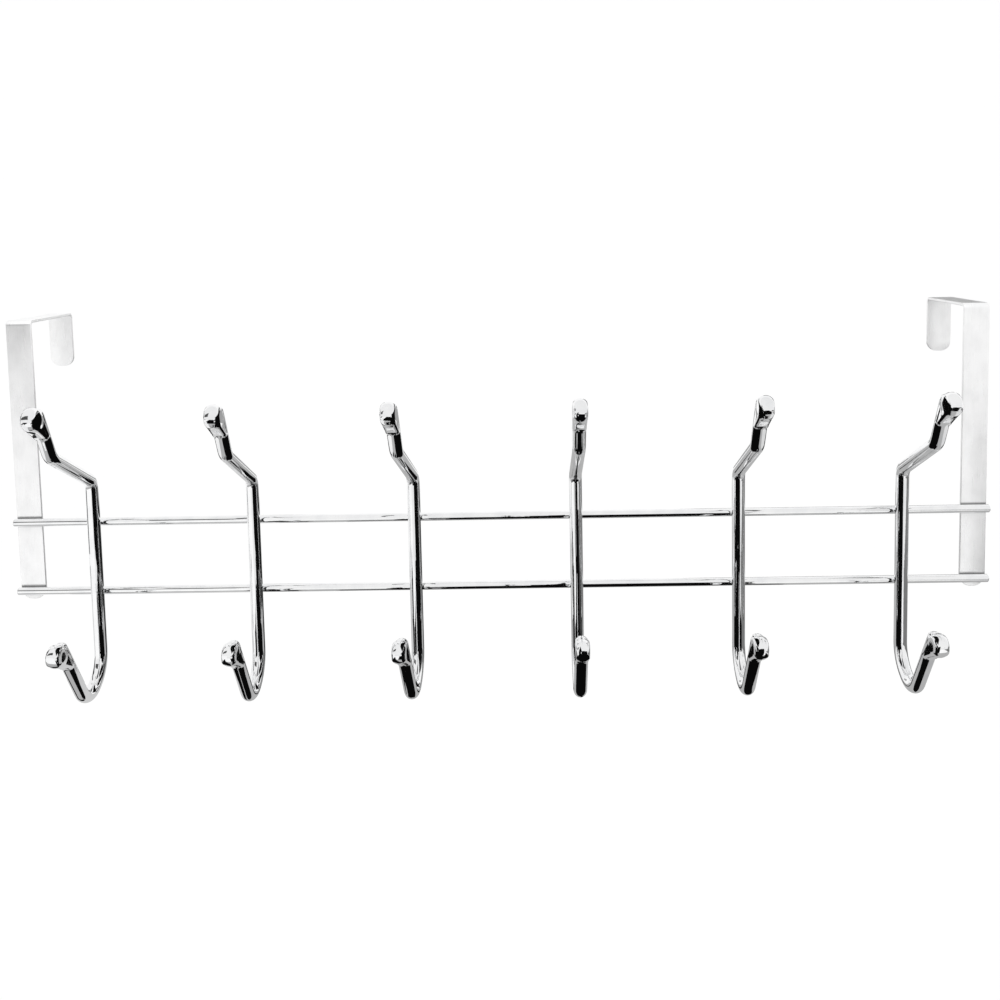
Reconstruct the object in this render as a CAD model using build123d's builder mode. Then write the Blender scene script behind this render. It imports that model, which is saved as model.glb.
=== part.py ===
from build123d import *
import os

# Over-door hook rack: six double hooks of bent wire on two rods, hung on two folded straps.
# Millimetres. X runs along the rack, -Y faces the viewer and +Y goes through the door, +Z is up.
# The origin is the middle of the door's top edge: half way along, half way through, under the ledges.

# Straps
door_gap = 38.0             # clear space for the door between the leg and the tab
strap_span = 425.0          # outside of one strap to the outside of the other
strap_width = 11.0
strap_thickness = 1.2
strap_bend_radius = 1.0     # inside radius of the two folds
tab_length = 24.0           # behind the door, below its top edge
tab_corner_radius = 4.5
foot_length = 4.0           # strap below the lower rod's axis
foot_corner_radius = 5.0

# Rods
rod_diameter = 3.5
rod_overhang = 0.6          # past the outside of each strap
rod_end_round = 0.5
upper_rod_drop = 88.0       # door's top edge down to the upper rod's axis
rod_spacing = 31.0
weld_set = 0.3              # depth to which two crossing pieces are pressed together

# Hooks: the wire goes straight, bends and goes straight again, in one upright plane
hook_count = 6
hook_pitch = 70.0
hook_row_shift = 1.0        # middle of the row, left of the middle between the straps
wire_diameter = 5.5
shaft_rise = 15.4           # shaft above the upper rod's axis
shoulder_bend = 6.0         # bend radii are taken on the wire's axis
shoulder_turn = 62.0        # turns are in degrees
crank_length = 34.3         # shoulder to elbow
elbow_bend = 7.0
elbow_turn = 36.0
upper_arm_length = 19.1     # elbow to the middle of the bulb
shaft_fall = 25.4           # shaft below the lower rod's axis
heel_bend = 14.0
heel_turn = 61.3
sole_length = 1.5           # heel to toe
toe_bend = 9.0
toe_turn = 87.2
lower_arm_length = 30.9     # toe to the middle of the bulb
askew_hook = 3              # the hook, counted from the left, that was welded on askew
askew_angle = 3.5           # degrees about its own shaft, to the left

# Bulbs: each end of the wire is pressed into a flat-sided lobe that stands forward of the wire
bulb_diameter = 9.8         # seen from the side
bulb_inset = 1.45           # bulb's back, in from the wire's back
bulb_swell = 0.15           # bulb's sides, out from the wire's sides
bulb_edge_round = 1.6
chin_length = 11.4          # bulb's middle down to the lower end of its taper
chin_lip = 0.4              # taper's lower end, out from the wire's front
chin_radius = 1.7
wire_end_length = 0.6       # wire above the bulb's middle
wire_end_round = 1.9
round_limit = 0.95          # largest rounding, as a share of the half width that it is on

# Places that follow from the sizes
wire_radius = wire_diameter / 2
rod_radius = rod_diameter / 2
strap_front = -door_gap / 2 - strap_thickness
rod_y = strap_front - rod_radius + weld_set
shaft_y = rod_y - rod_radius - wire_radius + weld_set
upper_rod_z = -upper_rod_drop
lower_rod_z = upper_rod_z - rod_spacing
foot_z = lower_rod_z - foot_length
right_strap_x = (strap_span - strap_width) / 2
strap_places = {"left_strap": -right_strap_x, "right_strap": right_strap_x}
rod_heights = {"upper_rod": upper_rod_z, "lower_rod": lower_rod_z}
first_hook_x = -hook_row_shift - hook_pitch * (hook_count - 1) / 2

os.makedirs("parts", exist_ok=True)


def build_strap(x):
    """A strip folded over the door's top edge, its two ends rounded."""
    with BuildPart() as strap:
        with BuildSketch(Plane.YZ.offset(x)):
            with BuildLine():
                door_side = FilletPolyline(
                    (-door_gap / 2, foot_z),
                    (-door_gap / 2, 0),
                    (door_gap / 2, 0),
                    (door_gap / 2, -tab_length),
                    radius=strap_bend_radius,
                )
                offset(door_side, amount=strap_thickness, side=Side.LEFT)
            make_face()
        extrude(amount=strap_width / 2, both=True)
        corners = strap.edges().filter_by(Axis.Y).filter_by(lambda edge: edge.length < door_gap / 2)
        foot_corners, tab_corners = corners.group_by(Axis.Z)[:2]
        largest_round = strap_width / 2 * round_limit
        fillet(foot_corners, min(foot_corner_radius, largest_round))
        fillet(tab_corners, min(tab_corner_radius, largest_round))
    return strap.part


def build_rod(z):
    """A round rod with eased ends and a flat where it is welded to each strap."""
    length = strap_span + 2 * rod_overhang
    with BuildPart() as rod:
        with BuildSketch(Plane.YZ.offset(-length / 2)):
            with Locations((rod_y, z)):
                Circle(rod_radius)
        extrude(amount=length)
        fillet(rod.edges().filter_by(GeomType.CIRCLE), min(rod_end_round, rod_radius * round_limit))
        with BuildSketch(Plane.XZ.offset(-strap_front)):
            with Locations(*((x, z) for x in strap_places.values())):
                Rectangle(strap_width, rod_diameter)
        extrude(amount=-rod_radius, mode=Mode.SUBTRACT)
    return rod.part


def build_bulb(wire_end, along, hook_plane):
    """The lobe at a wire's end: a thick disc, drawn down to a lip on the wire, with its edges eased."""
    bulb_plane = Plane(
        wire_end - along * wire_end_length,
        x_dir=along.cross(hook_plane.z_dir),
        z_dir=hook_plane.z_dir,
    )
    half_thickness = wire_radius + bulb_swell
    with BuildPart() as bulb:
        with BuildSketch(bulb_plane):
            with Locations((bulb_diameter / 2 + bulb_inset - wire_radius, 0)):
                Circle(bulb_diameter / 2)
            with Locations((wire_radius + chin_lip - chin_radius, chin_radius - chin_length)):
                Circle(chin_radius)
            make_hull()
        extrude(amount=half_thickness, both=True)
        faces_across = bulb.faces().sort_by(Axis(bulb_plane.origin, bulb_plane.z_dir))
        rim = faces_across[0].edges() + faces_across[-1].edges()
        fillet(rim, min(bulb_edge_round, round_limit * min(chin_radius, half_thickness)))
    return bulb.part


def build_hook(x, turn):
    """A wire bent to a double hook, with a bulb on each end and a saddle on each rod."""
    hook_plane = Plane(
        (x, shaft_y, 0),
        x_dir=Vector(0, -1, 0).rotate(Axis.Z, -turn),
        z_dir=Vector(-1, 0, 0).rotate(Axis.Z, -turn),
    )
    with BuildLine(hook_plane) as bent_wire:
        shaft = Line((0, lower_rod_z - shaft_fall), (0, upper_rod_z + shaft_rise))
        shoulder = JernArc(shaft @ 1, shaft % 1, shoulder_bend, -shoulder_turn)
        crank = PolarLine(shoulder @ 1, crank_length, direction=shoulder % 1)
        elbow = JernArc(crank @ 1, crank % 1, elbow_bend, elbow_turn)
        upper_arm = PolarLine(elbow @ 1, upper_arm_length + wire_end_length, direction=elbow % 1)
        heel = JernArc(shaft @ 0, -(shaft % 0), heel_bend, heel_turn)
        sole = PolarLine(heel @ 1, sole_length, direction=heel % 1)
        toe = JernArc(sole @ 1, sole % 1, toe_bend, toe_turn)
        lower_arm = PolarLine(toe @ 1, lower_arm_length + wire_end_length, direction=toe % 1)
    arms = [upper_arm, lower_arm]
    bulbs = [build_bulb(arm @ 1, arm % 1, hook_plane) for arm in arms]

    with BuildPart() as hook:
        wire_axis = bent_wire.wire()
        with BuildSketch(Plane(wire_axis @ 0, z_dir=wire_axis % 0)):
            Circle(wire_radius)
        sweep(path=wire_axis)
        rings = hook.edges().filter_by(GeomType.CIRCLE)
        end_rings = [rings.sort_by_distance(arm @ 1)[0] for arm in arms]
        fillet(end_rings, min(wire_end_round, wire_radius * round_limit))
        add(bulbs)
        with BuildSketch(Plane.YZ.offset(x)):
            with Locations(*((rod_y, z) for z in rod_heights.values())):
                Circle(rod_radius)
        extrude(amount=wire_diameter, both=True, mode=Mode.SUBTRACT)
    return hook.part


pieces = {name: build_strap(x) for name, x in strap_places.items()}
pieces |= {name: build_rod(z) for name, z in rod_heights.items()}
for place in range(hook_count):
    turn = askew_angle if place + 1 == askew_hook else 0
    pieces[f"hook_{place + 1}"] = build_hook(first_hook_x + place * hook_pitch, turn)

for name, piece in pieces.items():
    piece.label = name
    export_step(piece, f"parts/{name}.step")
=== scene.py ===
import math

import bmesh
import bpy
from bpy.props import FloatProperty, FloatVectorProperty, IntProperty, PointerProperty
from bpy.types import Operator, Panel, PropertyGroup
from mathutils import Matrix, Vector


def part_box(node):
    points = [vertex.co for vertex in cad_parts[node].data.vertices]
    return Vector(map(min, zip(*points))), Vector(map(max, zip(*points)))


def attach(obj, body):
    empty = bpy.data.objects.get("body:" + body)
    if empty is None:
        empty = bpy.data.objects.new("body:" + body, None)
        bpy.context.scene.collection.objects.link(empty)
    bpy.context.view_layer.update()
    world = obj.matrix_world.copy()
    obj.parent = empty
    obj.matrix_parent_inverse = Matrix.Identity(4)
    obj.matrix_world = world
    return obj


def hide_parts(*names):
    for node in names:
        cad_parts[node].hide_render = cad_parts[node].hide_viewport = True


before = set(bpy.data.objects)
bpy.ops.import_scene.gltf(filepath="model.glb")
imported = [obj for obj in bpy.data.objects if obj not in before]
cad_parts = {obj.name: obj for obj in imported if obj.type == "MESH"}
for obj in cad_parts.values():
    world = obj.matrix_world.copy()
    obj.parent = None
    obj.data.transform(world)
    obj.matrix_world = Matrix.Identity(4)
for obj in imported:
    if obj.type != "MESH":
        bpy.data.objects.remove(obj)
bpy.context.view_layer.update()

bl_info = {
    "name": "Over-door hook rack",
    "version": (1, 0, 0),
    "blender": (4, 5, 0),
    "location": "View3D > Sidebar > Hook Rack",
    "description": "Dresses a plated rack of six double hooks on two rods and two door straps",
    "category": "Object",
}

# Metres. X runs along the rack, -Y faces the viewer, Z is up.
# The origin is the middle of the door's top edge, under the straps' ledges.
BODY = "root"
ACROSS = Vector((1, 0, 0))
BACK = Vector((0, 1, 0))
UP = Vector((0, 0, 1))
RIGHT_ANGLE = math.radians(90.0)
HOOK_COUNT = 6
STRAP_NODES = ("left_strap", "right_strap")
ROD_NODES = ("upper_rod", "lower_rod")
HOOK_NODES = tuple(f"hook_{place + 1}" for place in range(HOOK_COUNT))

# How finely the meshes are cut
FOLD_STEPS = 8
CORNER_SEGMENTS = 10
ROLLED_SEGMENTS = 3
ROLLED_ANGLE = math.radians(60.0)   # edges of the strip that are sharper than this are rolled
ROD_SEGMENTS = 40
ROD_END_SEGMENTS = 6
WIRE_SEGMENTS = 72
SHOULDER_STEPS = 16
ELBOW_STEPS = 10
HEEL_STEPS = 18
TOE_STEPS = 24
RISE_RINGS = 36                     # from the wire up to the lobe's widest
DOME_RINGS = 26                     # from there to the lobe's pole
SKIN_STEPS = 26                     # halvings in the search for a bulb's skin
MERGE_GAP = 1e-7                    # vertices nearer to each other than this are merged
LEVEL_GAP = 1e-9                    # how square a rod's rim is to the rod

# Form of the bulbs, beside their sizes
ROUND = 2.0                         # fullness of a plain round edge
CHIN_TOP = 0.47                     # radius of the chin's upper end, as a share of the lobe's depth
BULB_FOOT = 1.5                     # start of the bulb below the chin, in radii of the wire
BULB_LEAN = math.radians(33.0)      # lean of the lobe's pole, back from the wire's line
BULB_CROWN = 0.2                    # middle of the lobe's rings, as a share of its reach
SKIN_REACH = 1.5                    # furthest skin from a ring's middle, in heights of the lobe

# Patterns in the plating: how fine each is along X, Y and Z
EVEN = (1.0, 1.0, 1.0)
ROD_HAIRS = (90.0, 2600.0, 2600.0)
HOOK_HAIRS = (1900.0, 1900.0, 130.0)
STRIP_STREAKS = (2600.0, 45.0, 45.0)
STRIP_BLOTCHES = (1.0, 1.0, 0.6)

# What the blotches and the clear plating between them leave of the strip's colour
BLOTCH_TONE = (0.93, 0.93, 0.93)
CLEAR_TONE = (1.0, 1.0, 1.0)

# Shade on the straps where they meet the rods, which ends between two depths behind the front face
SHADE_WIDTH = 0.0009
SHADE_TONE = 0.25
SHADE_DEPTHS = (0.0001, 0.0003)


def node_middle(node):
    """Middle of a CAD node's box."""
    low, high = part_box(node)
    return (low + high) / 2


def node_extent(node):
    """Size of a CAD node's box."""
    low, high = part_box(node)
    return high - low


def length(name, description, default):
    """A length that a user may change."""
    return FloatProperty(name=name, description=description, default=default, min=0.0,
                         precision=5, subtype="DISTANCE", unit="LENGTH")


def offset(name, description, default):
    """A distance from the origin that a user may change, to either side."""
    return FloatProperty(name=name, description=description, default=default,
                         precision=5, subtype="DISTANCE", unit="LENGTH")


def turn(name, description, degrees):
    """An angle that a user may change."""
    return FloatProperty(name=name, description=description, default=math.radians(degrees),
                         subtype="ANGLE", unit="ROTATION")


def tint(name, description, default):
    """A colour that a user may change."""
    return FloatVectorProperty(name=name, description=description, default=default, size=3,
                               min=0.0, max=1.0, subtype="COLOR")


class RACK_PG_strap(PropertyGroup):
    """Sizes of the two folded straps."""

    width: length("Width", "Strip's width", node_extent("left_strap").x)
    thickness: length("Thickness", "Strip's thickness", 0.0012)
    door_gap: length("Door gap", "Clear space for the door", 0.038)
    tab_length: length("Tab", "Tab behind the door, below its top edge", 0.024)
    fold_radius: length("Fold", "Inside radius of the folds", 0.001)
    foot_corner: length("Foot corner", "Corner radius of the leg's lower end", 0.005)
    tab_corner: length("Tab corner", "Corner radius of the tab's lower end", 0.0045)
    edge_round: length("Edge", "Rounding that the rolled strip has along its edges", 0.00025)


class RACK_PG_rod(PropertyGroup):
    """Sizes of the two rods."""

    diameter: length("Diameter", "Rod's diameter", node_extent("upper_rod").z)
    end_round: length("End", "Rounding of the rod's ends", 0.0005)


class RACK_PG_hook(PropertyGroup):
    """Sizes of the bent wire of a hook, on its axis."""

    wire_diameter: length("Wire", "Wire's diameter", 0.0055)
    shaft_y: offset("Shaft", "Shaft's axis, from the middle of the door", -0.02585)
    shaft_top: offset("Shaft top", "Height at which the shoulder starts", -0.0726)
    shaft_foot: offset("Shaft foot", "Height at which the heel starts", -0.1444)
    shoulder_bend: length("Shoulder", "Bend radius above the shaft", 0.006)
    shoulder_turn: turn("Shoulder turn", "Turn above the shaft", 62.0)
    crank: length("Crank", "Run from the shoulder to the elbow", 0.0343)
    elbow_bend: length("Elbow", "Bend radius at the end of the crank", 0.007)
    elbow_turn: turn("Elbow turn", "Turn at the end of the crank", 36.0)
    upper_arm: length("Upper arm", "Run from the elbow to the bulb's middle", 0.0191)
    heel_bend: length("Heel", "Bend radius below the shaft", 0.014)
    heel_turn: turn("Heel turn", "Turn below the shaft", 61.3)
    sole: length("Sole", "Run from the heel to the toe", 0.0015)
    toe_bend: length("Toe", "Bend radius at the end of the sole", 0.009)
    toe_turn: turn("Toe turn", "Turn at the end of the sole", 87.2)
    lower_arm: length("Lower arm", "Run from the toe to the bulb's middle", 0.0309)
    askew: IntProperty(name="Askew hook", description="Hook that was welded on askew, from the left",
                       default=3, min=0, max=HOOK_COUNT)
    askew_turn: turn("Askew turn", "How far that hook is turned about its shaft", 3.5)
    pitch: length("Pitch", "Hook to hook", 0.07)
    row_middle: offset("Row middle", "Middle of the row of hooks", -0.001)


class RACK_PG_bulb(PropertyGroup):
    """Sizes of the lobe that heads each end of a hook's wire."""

    height: length("Height", "Lobe's size along the wire", 0.0099)
    depth: length("Depth", "Lobe's size from front to back", 0.0090)
    reach: length("Reach", "Lobe's front, from the wire's axis", 0.0085)
    swell: length("Swell", "Lobe's sides, out from the wire's sides", 0.00013)
    edge_round: length("Edge", "How far the lobe's sides round over to its rim", 0.0027)
    fullness: FloatProperty(name="Fullness", description="2 for round edges, more for squarer ones",
                            default=2.25, min=2.0, max=6.0)
    chin: length("Chin", "From the lobe's middle down to the chin's lower end", 0.0114)
    chin_lip: length("Chin lip", "Chin's lower end, out from the wire's front", 0.0003)
    chin_radius: length("Chin radius", "Radius of the chin's lower end, seen from the side", 0.0017)
    chin_edge: length("Chin edge", "Rounding of the chin's edges", 0.0011)
    wire_end: length("Wire end", "Wire above the lobe's middle", 0.0014)
    wire_end_round: length("Wire end round", "Rounding of the wire's end", 0.0021)
    flow: length("Flow", "How softly the lobe runs into the wire", 0.0005)


class RACK_PG_finish(PropertyGroup):
    """Colours of the plated surfaces and of the studio."""

    plating: tint("Plating", "Bright plating at its clearest", (0.955, 0.957, 0.96))
    plating_haze: tint("Plating haze", "Bright plating where it is cloudy", (0.885, 0.89, 0.9))
    strap: tint("Strap", "Satin plating at its clearest", (0.97, 0.97, 0.97))
    strap_streak: tint("Strap streak", "Satin plating in the rolled streaks", (0.935, 0.935, 0.94))
    studio: tint("Studio", "Floor and backdrop", (0.95, 0.95, 0.95))


def new_mesh_object(bm, name):
    """Closes the bmesh into a smooth object at the origin."""
    bmesh.ops.remove_doubles(bm, verts=bm.verts, dist=MERGE_GAP)
    bmesh.ops.recalc_face_normals(bm, faces=bm.faces)
    mesh = bpy.data.meshes.new(name)
    bm.to_mesh(mesh)
    bm.free()
    mesh.shade_smooth()
    made = bpy.data.objects.new(name, mesh)
    bpy.context.scene.collection.objects.link(made)
    return made


def section_verts(section):
    """Vertices of a section, each of them once, in the order of its edges."""
    return list(dict.fromkeys(vert for edge in section for vert in edge.verts))


def extrude_section(bm, section):
    """Extrudes a section on the spot and gives the edges of the new one."""
    grown = bmesh.ops.extrude_edge_only(bm, edges=section)["geom"]
    fresh = {item for item in grown if isinstance(item, bmesh.types.BMVert)}
    edges = [item for item in grown if isinstance(item, bmesh.types.BMEdge)]
    return [edge for edge in edges if fresh.issuperset(edge.verts)]


def run_on(bm, section, pen, distance):
    """Carries a section straight on. The pen is its place and its heading."""
    section = extrude_section(bm, section)
    place, heading = pen
    bmesh.ops.translate(bm, verts=section_verts(section), vec=heading * distance)
    return section, (place + heading * distance, heading)


def bend_on(bm, section, pen, radius, angle, steps):
    """Carries a section round a bend in its upright plane, from up to forward for a positive angle."""
    place, heading = pen
    side = ACROSS.cross(heading) * math.copysign(1.0, angle)
    centre = place + side * radius
    swung = bmesh.ops.spin(bm, geom=section, cent=centre, axis=ACROSS, angle=angle, steps=steps,
                           use_merge=False, use_duplicate=False)["geom_last"]
    edges = [item for item in swung if isinstance(item, bmesh.types.BMEdge)]
    swing = Matrix.Rotation(angle, 3, ACROSS)
    return edges, (centre + swing @ (place - centre), swing @ heading)


def ring_facing(bm, place, heading, radius, segments):
    """A round section at a place, square to its heading."""
    turned = Matrix.Translation(place) @ heading.to_track_quat("Z", "X").to_matrix().to_4x4()
    bmesh.ops.create_circle(bm, segments=segments, radius=radius, matrix=turned)
    return list(bm.edges)


def soft_join(a, b, flow):
    """Joins two distance fields with a soft inside corner."""
    share = max(flow - abs(a - b), 0.0) / flow
    return min(a, b) - share * share * flow / 4


def ease_over(u, v, size, fullness):
    """Meets two distance fields at an outside corner that is eased over a size."""
    over_u, over_v = max(u + size, 0.0), max(v + size, 0.0)
    eased = (over_u ** fullness + over_v ** fullness) ** (1 / fullness)
    return eased + min(max(u, v) + size, 0.0) - size


def bulb_field(x, n, s, wire_radius, bulb):
    """Distance from the skin of a bulb: across the hook, forward of the wire and along the wire."""
    # The wire, rounded at its end
    wire = ease_over(math.hypot(x, n) - wire_radius, s - bulb.wire_end, bulb.wire_end_round, ROUND)
    # The lobe, a thick disc that stands forward, its sides rounded over to its rim
    middle_n = bulb.reach - bulb.depth / 2
    disc = math.hypot((n - middle_n) / bulb.depth, s / bulb.height) * 2 - 1
    side = abs(x) - wire_radius - bulb.swell
    lobe = ease_over(disc * bulb.depth / 2, side, bulb.edge_round, bulb.fullness)
    # The chin, a taper from the lobe down to a lip on the wire
    big, small = bulb.depth * CHIN_TOP, bulb.chin_radius
    top_n = bulb.reach - big
    lean_n = wire_radius + bulb.chin_lip - small - top_n
    lean_s = small - bulb.chin
    span = math.hypot(lean_n, lean_s)
    slope = (big - small) / math.sqrt(span ** 2 - (big - small) ** 2)
    down = ((n - top_n) * lean_n + s * lean_s) / span
    down += slope * abs((n - top_n) * lean_s - s * lean_n) / span
    share = min(max(down / span, 0.0), 1.0)
    taper = math.hypot(n - top_n - lean_n * share, s - lean_s * share) - big + (big - small) * share
    chin = ease_over(taper, abs(x) - wire_radius, bulb.chin_edge, ROUND)
    return soft_join(soft_join(wire, chin, bulb.flow), lobe, bulb.flow)


def bulb_skin(origin, ray, wire_radius, bulb):
    """The place where a ray from inside the bulb meets its skin."""
    near, far = 0.0, bulb.height * SKIN_REACH
    for _ in range(SKIN_STEPS):
        middle = (near + far) / 2
        if bulb_field(*(origin + ray * middle), wire_radius, bulb) < 0.0:
            near = middle
        else:
            far = middle
    return origin + ray * near


def below_lobe(wire_radius, bulb):
    """How far below the lobe's middle the bulb starts."""
    return bulb.chin + wire_radius * BULB_FOOT


def head_wire(bm, section, pen, wire_radius, bulb):
    """Heads the end of a wire into a bulb. The pen stands below the chin, heading for the tip."""
    place, heading = pen
    front = ACROSS.cross(heading)
    low = -below_lobe(wire_radius, bulb)
    crown = BULB_CROWN * bulb.reach
    # Where the rings stand: forward of the wire, along the wire, lean, and rise above the ring's plane
    rings = []
    for step in range(1, RISE_RINGS + 1):
        share = step / RISE_RINGS
        eased = share * share * (3 - 2 * share)
        rings.append((crown * eased, low * (1 - share), BULB_LEAN * eased, 0.0))
    for step in range(1, DOME_RINGS):
        rings.append((crown, 0.0, BULB_LEAN, RIGHT_ANGLE * step / DOME_RINGS))
    was_centre, was_front = place, front
    base = place - heading * low
    for ahead, up_wire, tilt, rise in rings:
        section = extrude_section(bm, section)
        centre = Vector((0.0, ahead, up_wire))
        ring_front = Vector((0.0, math.cos(tilt), math.sin(tilt)))
        ring_up = Vector((0.0, -math.sin(tilt), math.cos(tilt)))
        for vert in section_verts(section):
            off = vert.co - was_centre
            angle = math.atan2(off.dot(ACROSS), off.dot(was_front))
            level = ring_front * math.cos(angle) + ACROSS * math.sin(angle)
            ray = level * math.cos(rise) + ring_up * math.sin(rise)
            spot = bulb_skin(centre, ray, wire_radius, bulb)
            vert.co = base + ACROSS * spot.x + front * spot.y + heading * spot.z
        was_centre = base + front * ahead + heading * up_wire
        was_front = front * math.cos(tilt) + heading * math.sin(tilt)
    # The pole closes the last ring
    spot = bulb_skin(centre, ring_up, wire_radius, bulb)
    pole = base + front * spot.y + heading * spot.z
    section = extrude_section(bm, section)
    bmesh.ops.pointmerge(bm, verts=section_verts(section), merge_co=pole)


def node_material(name):
    """A material with its shader, and a function that adds a node and sets its values."""
    material = bpy.data.materials.new(name)
    material.use_nodes = True
    tree = material.node_tree
    shader = tree.nodes["Principled BSDF"]

    def add(kind, **values):
        node = tree.nodes.new(kind)
        for key, value in values.items():
            if key in node.inputs:
                node.inputs[key].default_value = value
            else:
                setattr(node, key, value)
        return node

    return material, tree, shader, add


def ramp(add, tree, source, low, high, low_colour, high_colour):
    """A colour ramp between two colours over part of a pattern's range."""
    node = add("ShaderNodeValToRGB")
    first, last = node.color_ramp.elements
    first.position, last.position = low, high
    first.color, last.color = (*low_colour, 1.0), (*high_colour, 1.0)
    tree.links.new(source, node.inputs["Fac"])
    return node.outputs["Color"]


def spread(add, tree, source, low, high, to_low, to_high):
    """A number over part of a pattern's range."""
    limits = {"From Min": low, "From Max": high, "To Min": to_low, "To Max": to_high}
    node = add("ShaderNodeMapRange", **limits)
    tree.links.new(source, node.inputs["Value"])
    return node.outputs["Result"]


def combine(add, tree, operation, first, second):
    """A number worked out from two others."""
    node = add("ShaderNodeMath", operation=operation)
    tree.links.new(first, node.inputs[0])
    tree.links.new(second, node.inputs[1])
    return node.outputs[0]


def pattern(add, tree, stretch, scale, detail, roughness=0.5):
    """Noise on Object coordinates, stretched along the axes."""
    place = add("ShaderNodeTexCoord")
    mapping = add("ShaderNodeMapping", Scale=stretch)
    noise = add("ShaderNodeTexNoise", Scale=scale, Detail=detail, Roughness=roughness)
    tree.links.new(place.outputs["Object"], mapping.inputs["Vector"])
    tree.links.new(mapping.outputs["Vector"], noise.inputs["Vector"])
    return noise.outputs["Fac"]


def relief(add, tree, shader, height, strength, distance):
    """Gives a shader the relief of a pattern."""
    bump = add("ShaderNodeBump", Strength=strength, Distance=distance)
    tree.links.new(height, bump.inputs["Height"])
    tree.links.new(bump.outputs["Normal"], shader.inputs["Normal"])


def bright_plating(name, finish, stretch):
    """Bright plating over drawn wire: clear, a little cloudy, with hairlines and a soft wave."""
    material, tree, shader, add = node_material(name)
    shader.inputs["Metallic"].default_value = 1.0
    cloud = pattern(add, tree, EVEN, scale=160.0, detail=3.0)
    colour = ramp(add, tree, cloud, low=0.3, high=0.62,
                  low_colour=tuple(finish.plating_haze), high_colour=tuple(finish.plating))
    tree.links.new(colour, shader.inputs["Base Color"])
    hairs = pattern(add, tree, stretch, scale=1.0, detail=4.0, roughness=0.7)
    dull = spread(add, tree, hairs, low=0.35, high=0.75, to_low=0.02, to_high=0.09)
    tree.links.new(dull, shader.inputs["Roughness"])
    wave = pattern(add, tree, EVEN, scale=420.0, detail=1.0)
    relief(add, tree, shader, wave, strength=0.1, distance=0.0002)
    return material


def satin_plating(name, finish):
    """Satin plating over rolled strip: fine streaks, soft blotches and shade beside the rods."""
    material, tree, shader, add = node_material(name)
    shader.inputs["Metallic"].default_value = 0.8
    streaks = pattern(add, tree, STRIP_STREAKS, scale=1.0, detail=5.0, roughness=0.65)
    blotches = pattern(add, tree, STRIP_BLOTCHES, scale=190.0, detail=3.0)
    colour = ramp(add, tree, streaks, low=0.28, high=0.6,
                  low_colour=tuple(finish.strap_streak), high_colour=tuple(finish.strap))
    blotch_colour = ramp(add, tree, blotches, low=0.3, high=0.6,
                         low_colour=BLOTCH_TONE, high_colour=CLEAR_TONE)
    for layer in (blotch_colour, rod_shade(add, tree)):
        mixed = add("ShaderNodeMix", data_type="RGBA", blend_type="MULTIPLY")
        mixed.inputs["Factor"].default_value = 1.0
        tree.links.new(colour, mixed.inputs["A"])
        tree.links.new(layer, mixed.inputs["B"])
        colour = mixed.outputs["Result"]
    tree.links.new(colour, shader.inputs["Base Color"])
    dull = spread(add, tree, streaks, low=0.3, high=0.7, to_low=0.26, to_high=0.34)
    tree.links.new(dull, shader.inputs["Roughness"])
    relief(add, tree, shader, streaks, strength=0.03, distance=0.00005)
    return material


def rod_shade(add, tree):
    """A dark line on the straps where they meet the rods, as a tone from 0 to 1."""
    place = add("ShaderNodeTexCoord")
    apart = add("ShaderNodeSeparateXYZ")
    tree.links.new(place.outputs["Object"], apart.inputs["Vector"])
    # The back and the edges of the strip stay clear
    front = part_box(STRAP_NODES[0])[0].y
    first, last = SHADE_DEPTHS
    clear = spread(add, tree, apart.outputs["Y"], front + first, front + last, 0.0, 1.0)
    lines = []
    for node in ROD_NODES:
        off = add("ShaderNodeMath", operation="SUBTRACT")
        off.inputs[1].default_value = node_middle(node).z
        size = add("ShaderNodeMath", operation="ABSOLUTE")
        tree.links.new(apart.outputs["Z"], off.inputs[0])
        tree.links.new(off.outputs[0], size.inputs[0])
        radius = node_extent(node).z / 2
        lines.append(spread(add, tree, size.outputs[0], radius, radius + SHADE_WIDTH, SHADE_TONE, 1.0))
    return combine(add, tree, "MAXIMUM", combine(add, tree, "MINIMUM", *lines), clear)


def finish_piece(piece, material, node):
    """Gives a piece its finish and its place in the frame."""
    piece.data.materials.clear()
    piece.data.materials.append(material)
    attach(piece, BODY)
    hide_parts(node)


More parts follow.
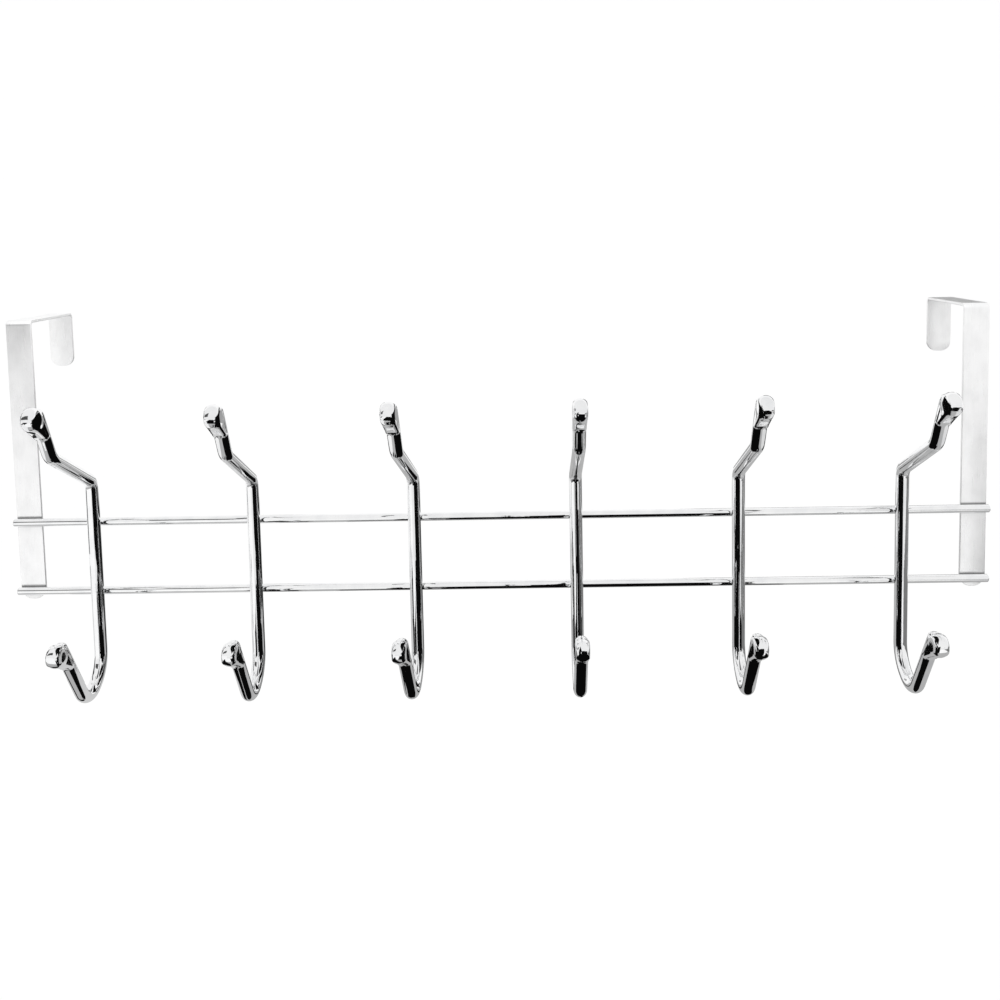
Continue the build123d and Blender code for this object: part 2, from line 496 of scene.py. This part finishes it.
class RACK_OT_straps(Operator):
    """Make the two straps that fold over the door's top edge"""

    bl_idname = "rack.straps"
    bl_label = "Make straps"

    def execute(self, context):
        strap = context.scene.rack_strap
        material = satin_plating("satin_strap", context.scene.rack_finish)
        for node in STRAP_NODES:
            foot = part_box(node)[0].z
            bm = bmesh.new()
            start = Vector((node_middle(node).x, -strap.door_gap / 2, foot))
            half = ACROSS * strap.width / 2
            ends = [bm.verts.new(start - half), bm.verts.new(start + half)]
            section = [bm.edges.new(ends)]
            pen = (start, UP)
            fold = strap.fold_radius
            section, pen = run_on(bm, section, pen, -foot - fold)
            section, pen = bend_on(bm, section, pen, fold, -RIGHT_ANGLE, FOLD_STEPS)
            section, pen = run_on(bm, section, pen, strap.door_gap - 2 * fold)
            section, pen = bend_on(bm, section, pen, fold, -RIGHT_ANGLE, FOLD_STEPS)
            section, pen = run_on(bm, section, pen, strap.tab_length - fold)
            for corners, radius in ((ends, strap.foot_corner), (section[0].verts, strap.tab_corner)):
                bmesh.ops.bevel(bm, geom=list(corners), offset=radius, affect="VERTICES",
                                segments=CORNER_SEGMENTS, profile=0.5, material=-1)
            bmesh.ops.recalc_face_normals(bm, faces=bm.faces)
            ledge = max(bm.faces, key=lambda face: face.calc_center_median().z)
            if ledge.normal.z < 0.0:
                bmesh.ops.reverse_faces(bm, faces=bm.faces)
            bmesh.ops.solidify(bm, geom=list(bm.faces), thickness=-strap.thickness)
            bmesh.ops.recalc_face_normals(bm, faces=bm.faces)
            arrises = [edge for edge in bm.edges if edge.calc_face_angle(0.0) > ROLLED_ANGLE]
            bmesh.ops.bevel(bm, geom=arrises, offset=strap.edge_round, affect="EDGES",
                            segments=ROLLED_SEGMENTS, profile=0.5, material=-1)
            piece = new_mesh_object(bm, f"{node}_strip")
            finish_piece(piece, material, node)
        return {"FINISHED"}


class RACK_OT_rods(Operator):
    """Make the two rods that carry the hooks"""

    bl_idname = "rack.rods"
    bl_label = "Make rods"

    def execute(self, context):
        rod = context.scene.rack_rod
        material = bright_plating("bright_rod", context.scene.rack_finish, ROD_HAIRS)
        radius = rod.diameter / 2
        for node in ROD_NODES:
            low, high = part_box(node)
            start = Vector((low.x, low.y + radius, node_middle(node).z))
            bm = bmesh.new()
            section = ring_facing(bm, start, ACROSS, radius, ROD_SEGMENTS)
            run_on(bm, section, (start, ACROSS), high.x - low.x)
            bmesh.ops.holes_fill(bm, edges=bm.edges)
            rims = [edge for edge in bm.edges
                    if abs(edge.verts[0].co.x - edge.verts[1].co.x) < LEVEL_GAP]
            bmesh.ops.bevel(bm, geom=rims, offset=rod.end_round, affect="EDGES",
                            segments=ROD_END_SEGMENTS, profile=0.5, material=-1)
            piece = new_mesh_object(bm, f"{node}_bar")
            finish_piece(piece, material, node)
        return {"FINISHED"}


class RACK_OT_hooks(Operator):
    """Make the six double hooks"""

    bl_idname = "rack.hooks"
    bl_label = "Make hooks"

    def execute(self, context):
        hook = context.scene.rack_hook
        material = bright_plating("bright_hook", context.scene.rack_finish, HOOK_HAIRS)
        names = [f"{node}_wire" for node in HOOK_NODES]
        pieces = [new_mesh_object(self.bent_wire(hook, context.scene.rack_bulb), names[0])]
        for name in names[1:]:
            piece = bpy.data.objects.new(name, pieces[0].data.copy())
            context.scene.collection.objects.link(piece)
            pieces.append(piece)
        for place, piece in enumerate(pieces):
            x = hook.row_middle + hook.pitch * (place - (HOOK_COUNT - 1) / 2)
            askew = -hook.askew_turn if place + 1 == hook.askew else 0.0
            stand = Matrix.Translation((x, hook.shaft_y, 0.0)) @ Matrix.Rotation(askew, 4, "Z")
            piece.data.transform(stand)
            finish_piece(piece, material, HOOK_NODES[place])
        return {"FINISHED"}

    def bent_wire(self, hook, bulb):
        """The wire of a hook, bent and headed, with its shaft on the Z axis."""
        radius = hook.wire_diameter / 2
        below = below_lobe(radius, bulb)
        foot = Vector((0.0, 0.0, hook.shaft_foot))
        bm = bmesh.new()
        first = ring_facing(bm, foot, UP, radius, WIRE_SEGMENTS)
        # Up the shaft to the upper bulb
        section, pen = run_on(bm, first, (foot, UP), hook.shaft_top - hook.shaft_foot)
        section, pen = bend_on(bm, section, pen, hook.shoulder_bend, hook.shoulder_turn, SHOULDER_STEPS)
        section, pen = run_on(bm, section, pen, hook.crank)
        section, pen = bend_on(bm, section, pen, hook.elbow_bend, -hook.elbow_turn, ELBOW_STEPS)
        section, pen = run_on(bm, section, pen, hook.upper_arm - below)
        head_wire(bm, section, pen, radius, bulb)
        # Down from the shaft's foot to the lower bulb
        section, pen = bend_on(bm, first, (foot, -UP), hook.heel_bend, -hook.heel_turn, HEEL_STEPS)
        section, pen = run_on(bm, section, pen, hook.sole)
        section, pen = bend_on(bm, section, pen, hook.toe_bend, -hook.toe_turn, TOE_STEPS)
        section, pen = run_on(bm, section, pen, hook.lower_arm - below)
        head_wire(bm, section, pen, radius, bulb)
        return bm


# The stage: a floor that runs back and sweeps up into a backdrop
FLOOR_FRONT = Vector((0.0, -2.2, -0.42))
FLOOR_HALF_WIDTH = 3.0
FLOOR_RUN = 3.2
SWEEP_RADIUS = 0.8
SWEEP_STEPS = 24
BACKDROP_RISE = 2.0
FLOOR_ROUGHNESS = 0.9
FLOOR_WHITE = 1.03                  # tone that is seen, in place of the lit floor
FLOOR_SHARE = 0.9                   # share of that tone, while the rest keeps the shadow
WORLD_FILL = 0.7                    # light from all round, where the world isn't seen

# Lamps: name, place, size and power
LAMPS = (
    ("key", (-0.5, -0.9, 1.3), 1.2, 9.0),
    ("fill", (0.9, -0.8, 0.7), 1.0, 4.0),
)
LAMP_AIM = Vector((0.0, -0.03, -0.08))

# Camera: its turns are in degrees, one after the other about its own axes
EYE_PLACE = (0.01485, -0.44976, 0.03621)
EYE_TURNS = ((90.0, "X"), (1.004, "Y"), (-4.764, "X"), (-1.141, "Z"))
EYE_SENSOR = 36.0
EYE_LENS = 36.0
EYE_SHIFT = (-0.0104, -0.1865)

# Cards that only reflections see: name, low corner, high corner, tone, and the way along its axis
# that the card faces, or 0 where it shows on both sides
DARK = 0.003
CARDS = (
    ("dark_under_front", (-0.032, -0.423, -0.182), (0.118, -0.028, -0.182), DARK, 0),
    ("grey_behind", (-0.069, 0.563, -0.183), (0.327, 1.478, -0.183), 0.376, 0),
    ("pale_under_left", (-0.359, -0.04, -0.184), (-0.123, 0.149, -0.184), 0.621, 0),
    ("grey_low", (-0.912, -0.076, -0.394), (0.933, 1.88, -0.394), 0.465, 0),
    ("dark_wall_front", (0.0305, -0.854, -0.277), (0.0305, -0.045, -0.084), DARK, -1),
    ("dark_wall_near", (0.035, -0.045, -0.277), (0.035, -0.028, -0.084), DARK, -1),
    ("dark_wall_right", (0.0, -1.136, -0.419), (0.0, -0.122, -0.06), DARK, 1),
    ("grey_right", (0.542, -0.884, -0.418), (0.542, 1.093, -0.148), 0.2, -1),
    ("dark_far_left", (-0.713, -0.097, -0.263), (-0.713, 0.139, 0.547), DARK, 1),
    ("dark_under", (-0.122, -0.098, -0.358), (0.193, 0.053, -0.358), DARK, 0),
    ("dark_back_left", (-2.0, 1.508, -0.42), (-0.232, 1.508, -0.271), DARK, 0),
    ("pale_over", (-2.0, -2.0, 0.166), (1.187, 0.032, 0.166), 0.89, 0),
    ("pale_front", (-1.029, -0.329, -0.123), (1.35, -0.329, 1.044), 0.9, 0),
    ("dark_low", (-0.099, -0.863, -0.362), (0.123, 0.481, -0.362), DARK, 0),
    ("grey_under", (-0.63, -0.249, -0.36), (0.948, 0.371, -0.36), 0.45, 0),
    ("pale_left", (-0.224, -0.016, -0.234), (-0.224, 0.386, 0.666), 0.974, 1),
    ("dark_under_left", (-0.929, -0.039, -0.336), (-0.145, 0.049, -0.336), 0.0, 0),
    ("dark_front", (0.014, -0.253, -0.42), (0.178, -0.253, -0.11), DARK, 0),
    ("pale_front_band", (-0.168, -0.254, -0.194), (0.571, -0.254, -0.136), 0.874, 0),
    ("grey_front_left", (-0.85, -0.322, 0.0), (-0.235, -0.322, 0.6), 0.08, 0),
    ("grey_back_right", (0.3, 1.2, 0.03), (1.5, 1.2, 0.55), 0.12, 0),
    ("grey_back_left", (-1.5, 1.2, 0.03), (-0.4, 1.2, 0.5), 0.4, 0),
)

# Cards close beside the hooks, each facing its hook: name, hooks, side (1 for right, -1 for left),
# from front to back, from low to high, tone
NEAR_GAP = 0.018
NEAR_CARDS = (
    ("beside_shaft", (1, 2, 3), 1, (-0.0175, 0.02), (-0.157, -0.085), DARK),
    ("beside_arm", (1, 2, 3), 1, (-0.1, -0.035), (-0.115, -0.03), DARK),
    ("beside_arm", (5, 6), -1, (-0.1, -0.035), (-0.115, -0.03), DARK),
    ("beside_arm", (1, 2, 3), -1, (-0.1, -0.054), (-0.075, -0.045), 0.92),
    ("beside_arm", (5, 6), 1, (-0.1, -0.054), (-0.075, -0.045), 0.75),
    ("behind_arm", (1, 2, 3), -1, (-0.054, -0.041), (-0.07, -0.025), 0.02),
    ("behind_arm", (5, 6), 1, (-0.054, -0.041), (-0.07, -0.025), 0.02),
    ("beside_toe", (1, 2, 3, 4, 5), 1, (-0.1, -0.045), (-0.25, -0.145), DARK),
    ("beside_toe", (2, 3, 4, 5, 6), -1, (-0.1, -0.045), (-0.25, -0.145), DARK),
)

# Dark level cards below the fronts of the upper bulbs: how far each stands to the right of its hook
BULB_CARDS = {1: -0.045, 2: -0.012, 3: -0.002, 5: 0.01, 6: 0.018}
BULB_CARD_REACH = (-0.165, -0.093)
BULB_CARD_Z = -0.06
BULB_CARD_HALF = 0.018


def stage_material(name, tone, one_sided):
    """A stage surface that shows one even tone, on one side only where asked."""
    material = bpy.data.materials.new(name)
    material.use_nodes = True
    tree = material.node_tree
    tree.nodes.clear()
    out = tree.nodes.new("ShaderNodeOutputMaterial")
    glow = tree.nodes.new("ShaderNodeEmission")
    glow.inputs["Color"].default_value = (tone, tone, tone, 1.0)
    if not one_sided:
        tree.links.new(glow.outputs[0], out.inputs["Surface"])
        return material
    geometry = tree.nodes.new("ShaderNodeNewGeometry")
    clear = tree.nodes.new("ShaderNodeBsdfTransparent")
    mix = tree.nodes.new("ShaderNodeMixShader")
    tree.links.new(geometry.outputs["Backfacing"], mix.inputs["Fac"])
    tree.links.new(glow.outputs[0], mix.inputs[1])
    tree.links.new(clear.outputs[0], mix.inputs[2])
    tree.links.new(mix.outputs[0], out.inputs["Surface"])
    return material


def stage_card(name, low, high, tone, facing):
    """An upright or level card that only reflections see, on both sides unless it faces one way."""
    low, high = Vector(low), Vector(high)
    span = high - low
    side = Vector((span.x, 0.0, 0.0)) if span.x else Vector((0.0, span.y, 0.0))
    rise = span - side
    bm = bmesh.new()
    section = [bm.edges.new((bm.verts.new(low), bm.verts.new(low + side)))]
    run_on(bm, section, (low, rise.normalized()), rise.length)
    bm.normal_update()
    if any(sum(face.normal) * facing < 0.0 for face in bm.faces):
        bmesh.ops.reverse_faces(bm, faces=bm.faces)
    mesh = bpy.data.meshes.new(name)
    bm.to_mesh(mesh)
    bm.free()
    mesh.materials.append(stage_material(name, tone, facing != 0))
    card = bpy.data.objects.new(name, mesh)
    bpy.context.scene.collection.objects.link(card)
    for sight in ("camera", "diffuse", "transmission", "volume_scatter", "shadow"):
        setattr(card, f"visible_{sight}", False)


def seen_ray(tree):
    """1 for a ray from the camera, in a reflection or through glass, and 0 for any other."""
    path = tree.nodes.new("ShaderNodeLightPath")
    seen = path.outputs["Is Camera Ray"]
    for kind in ("Is Glossy Ray", "Is Transmission Ray"):
        either = tree.nodes.new("ShaderNodeMath")
        either.operation = "MAXIMUM"
        tree.links.new(seen, either.inputs[0])
        tree.links.new(path.outputs[kind], either.inputs[1])
        seen = either.outputs[0]
    return seen


class RACK_OT_stage(Operator):
    """Set the floor, the cards, the light and the camera"""

    bl_idname = "rack.stage"
    bl_label = "Set stage"

    def execute(self, context):
        scene = context.scene
        scene.view_settings.view_transform = "Standard"
        self.floor(scene)
        self.cards()
        self.world(scene)
        self.lamps(scene)
        self.camera(scene)
        return {"FINISHED"}

    def floor(self, scene):
        """A pale floor that sweeps up into a backdrop."""
        bm = bmesh.new()
        half = ACROSS * FLOOR_HALF_WIDTH
        ends = [bm.verts.new(FLOOR_FRONT - half), bm.verts.new(FLOOR_FRONT + half)]
        section, pen = run_on(bm, [bm.edges.new(ends)], (FLOOR_FRONT, BACK), FLOOR_RUN)
        section, pen = bend_on(bm, section, pen, SWEEP_RADIUS, RIGHT_ANGLE, SWEEP_STEPS)
        run_on(bm, section, pen, BACKDROP_RISE)
        sweep = new_mesh_object(bm, "floor")
        material, tree, shader, add = node_material("floor")
        shader.inputs["Base Color"].default_value = (*scene.rack_finish.studio, 1.0)
        shader.inputs["Roughness"].default_value = FLOOR_ROUGHNESS
        share = add("ShaderNodeMath", operation="MULTIPLY")
        share.inputs[1].default_value = FLOOR_SHARE
        white = add("ShaderNodeEmission", Strength=FLOOR_WHITE)
        mix = add("ShaderNodeMixShader")
        tree.links.new(seen_ray(tree), share.inputs[0])
        tree.links.new(share.outputs[0], mix.inputs["Fac"])
        tree.links.new(shader.outputs[0], mix.inputs[1])
        tree.links.new(white.outputs[0], mix.inputs[2])
        tree.links.new(mix.outputs[0], tree.nodes["Material Output"].inputs["Surface"])
        sweep.data.materials.append(material)

    def cards(self):
        """Dark, grey and pale cards round the rack, which give the bright plating its stripes."""
        for card in CARDS:
            stage_card(*card)
        for name, hooks, side, (front, back), (foot, top), tone in NEAR_CARDS:
            side_name = "right" if side > 0 else "left"
            for hook in hooks:
                x = node_middle(HOOK_NODES[hook - 1]).x + side * NEAR_GAP
                stage_card(f"{name}_{hook}_{side_name}", (x, front, foot), (x, back, top), tone, -side)
        front, back = BULB_CARD_REACH
        for hook, aside in BULB_CARDS.items():
            x = node_middle(HOOK_NODES[hook - 1]).x + aside
            low = (x - BULB_CARD_HALF, front, BULB_CARD_Z)
            high = (x + BULB_CARD_HALF, back, BULB_CARD_Z)
            stage_card(f"below_bulb_{hook}", low, high, DARK, 1)

    def world(self, scene):
        """White where it is seen, and an even fill elsewhere."""
        world = bpy.data.worlds.new("studio")
        scene.world = world
        world.use_nodes = True
        tree = world.node_tree
        background = tree.nodes["Background"]
        background.inputs["Color"].default_value = (1.0, 1.0, 1.0, 1.0)
        level = tree.nodes.new("ShaderNodeMapRange")
        level.inputs["To Min"].default_value = WORLD_FILL
        tree.links.new(seen_ray(tree), level.inputs["Value"])
        tree.links.new(level.outputs["Result"], background.inputs["Strength"])

    def lamps(self, scene):
        """A broad lamp above on the left and a weaker one on the right, both plain."""
        for name, place, size, power in LAMPS:
            lamp = bpy.data.lights.new(name, "AREA")
            lamp.shape = "SQUARE"
            lamp.size = size
            lamp.energy = power
            holder = bpy.data.objects.new(name, lamp)
            holder.location = place
            aim = LAMP_AIM - Vector(place)
            holder.rotation_euler = aim.to_track_quat("-Z", "Y").to_euler()
            scene.collection.objects.link(holder)

    def camera(self, scene):
        """The photograph's eye: a little above the ledges, looking a little down."""
        eye = bpy.data.cameras.new("eye")
        eye.sensor_width = EYE_SENSOR
        eye.lens = EYE_LENS
        eye.shift_x, eye.shift_y = EYE_SHIFT
        stand = Matrix.Translation(EYE_PLACE)
        for degrees, axis in EYE_TURNS:
            stand = stand @ Matrix.Rotation(math.radians(degrees), 4, axis)
        holder = bpy.data.objects.new("eye", eye)
        holder.matrix_world = stand
        scene.collection.objects.link(holder)
        scene.camera = holder


class RACK_PT_panel(Panel):
    """Sizes, colours and makers of the hook rack"""

    bl_idname = "RACK_PT_panel"
    bl_label = "Hook Rack"
    bl_space_type = "VIEW_3D"
    bl_region_type = "UI"
    bl_category = "Hook Rack"

    def draw(self, context):
        layout = self.layout
        scene = context.scene
        for maker in MAKERS:
            layout.operator(maker.bl_idname)
        for heading, group in (
            ("Straps", scene.rack_strap),
            ("Rods", scene.rack_rod),
            ("Hooks", scene.rack_hook),
            ("Bulbs", scene.rack_bulb),
            ("Finish", scene.rack_finish),
        ):
            box = layout.box()
            box.label(text=heading)
            for name in group.__annotations__:
                box.prop(group, name)


MAKERS = (RACK_OT_straps, RACK_OT_rods, RACK_OT_hooks, RACK_OT_stage)
GROUPS = {
    "rack_strap": RACK_PG_strap,
    "rack_rod": RACK_PG_rod,
    "rack_hook": RACK_PG_hook,
    "rack_bulb": RACK_PG_bulb,
    "rack_finish": RACK_PG_finish,
}
CLASSES = (*GROUPS.values(), *MAKERS, RACK_PT_panel)


def register():
    for cls in CLASSES:
        bpy.utils.register_class(cls)
    for name, group in GROUPS.items():
        setattr(bpy.types.Scene, name, PointerProperty(type=group))


def unregister():
    for name in GROUPS:
        delattr(bpy.types.Scene, name)
    for cls in reversed(CLASSES):
        bpy.utils.unregister_class(cls)


def main():
    register()
    bpy.ops.rack.straps()
    bpy.ops.rack.rods()
    bpy.ops.rack.hooks()
    bpy.ops.rack.stage()


if __name__ == "__main__":
    main()
